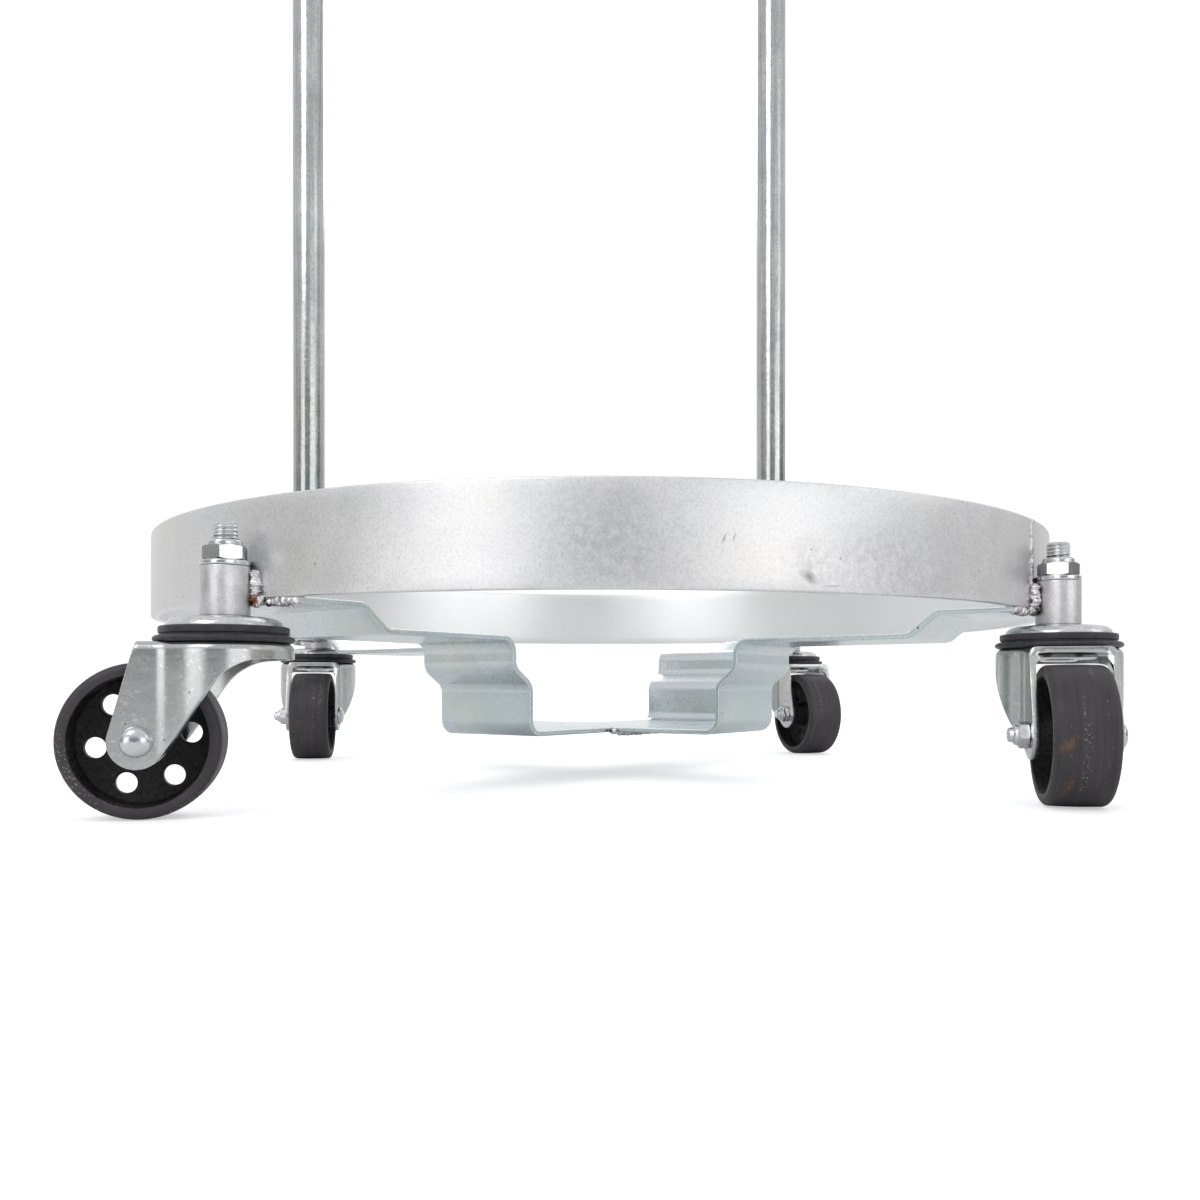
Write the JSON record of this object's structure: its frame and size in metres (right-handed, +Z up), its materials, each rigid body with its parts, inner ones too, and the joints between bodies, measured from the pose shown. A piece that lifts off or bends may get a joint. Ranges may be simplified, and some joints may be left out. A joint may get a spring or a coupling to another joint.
{
  "type": "drum dolly",
  "caption": "Round drum dolly: zinc-plated ring on crossed dropped straps, swivel casters on threaded stems and an upright U-shaped push handle.",
  "frame": {"origin": "on the ring's axis, level with the ring's bottom edge, which is the plane that the drum's rim stands on", "axes": "+Z up along the ring's axis, +Y towards the push handle, +X to the right when seen from the side opposite the handle"},
  "size_m": [0.61, 0.6712, 0.9366],
  "materials": {
    "ring_zinc": "matte mottled zinc plate",
    "strap_zinc": "blue-white zinc plate with faint rainbow tints",
    "galvanised_tube": "shiny galvanised tube with upright streaks",
    "caster_zinc": "bright zinc plate",
    "fastener_zinc": "bright zinc plate",
    "weld": "rough bright weld metal with brown specks",
    "nylon": "white nylon",
    "seal_rubber": "black rubber",
    "wheel_iron": "dark cast iron with machined tread and light rust"
  },
  "bodies": {
    "frame": {"ring_band": "ring_zinc", "ring_seam_weld": "weld", "through_strap": "strap_zinc", "front_right_strap": "strap_zinc", "rear_left_strap": "strap_zinc", "crossing_welds": "weld", "strap_end_welds": "weld", "stem_bosses": "ring_zinc", "boss_welds": "weld", "handle_left_leg": "galvanised_tube", "handle_right_leg": "galvanised_tube", "handle_grip": "galvanised_tube", "handle_welds": "weld", "caster_stems": "fastener_zinc", "stem_washers": "fastener_zinc", "stem_nuts": "fastener_zinc", "nylon_inserts": "nylon", "race_caps": "caster_zinc", "thrust_races": "caster_zinc", "lower_races": "caster_zinc"},
    "caster_front_left": {"fork_front_left": "caster_zinc", "dust_seal_front_left": "seal_rubber", "axle_bolt_front_left": "fastener_zinc", "axle_nut_front_left": "fastener_zinc", "axle_sleeve_front_left": "fastener_zinc"},
    "wheel_front_left": {"wheel_front_left": "wheel_iron"},
    "caster_front_right": {"fork_front_right": "caster_zinc", "dust_seal_front_right": "seal_rubber", "axle_bolt_front_right": "fastener_zinc", "axle_nut_front_right": "fastener_zinc", "axle_sleeve_front_right": "fastener_zinc"},
    "wheel_front_right": {"wheel_front_right": "wheel_iron"},
    "caster_rear_left": {"fork_rear_left": "caster_zinc", "dust_seal_rear_left": "seal_rubber", "axle_bolt_rear_left": "fastener_zinc", "axle_nut_rear_left": "fastener_zinc", "axle_sleeve_rear_left": "fastener_zinc"},
    "wheel_rear_left": {"wheel_rear_left": "wheel_iron"},
    "caster_rear_right": {"fork_rear_right": "caster_zinc", "dust_seal_rear_right": "seal_rubber", "axle_bolt_rear_right": "fastener_zinc", "axle_nut_rear_right": "fastener_zinc", "axle_sleeve_rear_right": "fastener_zinc"},
    "wheel_rear_right": {"wheel_rear_right": "wheel_iron"}
  },
  "joints": [
    {"name": "swivel_front_left", "type": "hinge", "parent": "frame", "child": "caster_front_left", "pos_m": [-0.22415, -0.22415, -0.0239], "axis": [0, 0, 1], "continuous": true},
    {"name": "roll_front_left", "type": "hinge", "parent": "caster_front_left", "child": "wheel_front_left", "pos_m": [-0.26104, -0.22699, -0.0695], "axis": [0.0767, -0.9971, 0], "continuous": true},
    {"name": "swivel_front_right", "type": "hinge", "parent": "frame", "child": "caster_front_right", "pos_m": [0.22415, -0.22415, -0.0239], "axis": [0, 0, 1], "continuous": true},
    {"name": "roll_front_right", "type": "hinge", "parent": "caster_front_right", "child": "wheel_front_right", "pos_m": [0.21047, -0.25853, -0.0695], "axis": [0.9291, -0.3697, 0], "continuous": true},
    {"name": "swivel_rear_left", "type": "hinge", "parent": "frame", "child": "caster_rear_left", "pos_m": [-0.22415, 0.22415, -0.0239], "axis": [0, 0, 1], "continuous": true},
    {"name": "roll_rear_left", "type": "hinge", "parent": "caster_rear_left", "child": "wheel_rear_left", "pos_m": [-0.22499, 0.18716, -0.0695], "axis": [0.9997, -0.0227, 0], "continuous": true},
    {"name": "swivel_rear_right", "type": "hinge", "parent": "frame", "child": "caster_rear_right", "pos_m": [0.22415, 0.22415, -0.0239], "axis": [0, 0, 1], "continuous": true},
    {"name": "roll_rear_right", "type": "hinge", "parent": "caster_rear_right", "child": "wheel_rear_right", "pos_m": [0.23007, 0.18763, -0.0695], "axis": [0.9871, 0.1599, 0], "continuous": true}
  ]
}
